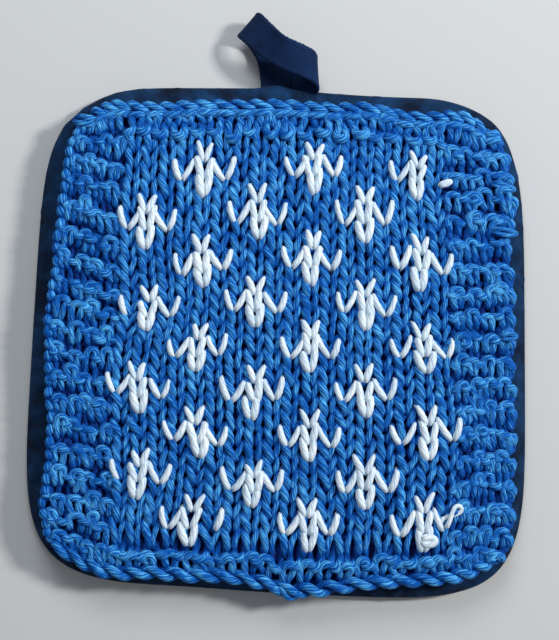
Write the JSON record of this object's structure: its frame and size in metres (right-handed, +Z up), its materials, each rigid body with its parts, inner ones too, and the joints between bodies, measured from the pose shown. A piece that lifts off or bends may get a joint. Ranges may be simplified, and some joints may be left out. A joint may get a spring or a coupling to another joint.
{
  "type": "padded potholder with a knitted front",
  "caption": "Padded square cloth potholder with rounded corners, a knitted front panel with small star motifs, and a tape hanging loop at the top edge, lying flat on its back.",
  "frame": {"origin": "middle of the pad's flat underside, where it rests", "axes": "+X to the right across the pad, +Y up the pad towards the hanging loop, +Z up through the thickness, out of the knitted front"},
  "size_m": [0.1776, 0.2092, 0.0166],
  "materials": {
    "navy_cotton": "plain-woven cotton, matt, dark navy",
    "blue_cotton_yarn": "plied cotton knitting yarn, soft, bright blue",
    "white_cotton_yarn": "plied cotton knitting yarn, soft, white",
    "navy_tape": "folded cotton tape, matt, dark navy"
  },
  "bodies": {
    "root": {"pad": "navy_cotton", "knit_panel": "blue_cotton_yarn", "hanging_loop": "navy_tape"}
  },
  "joints": []
}
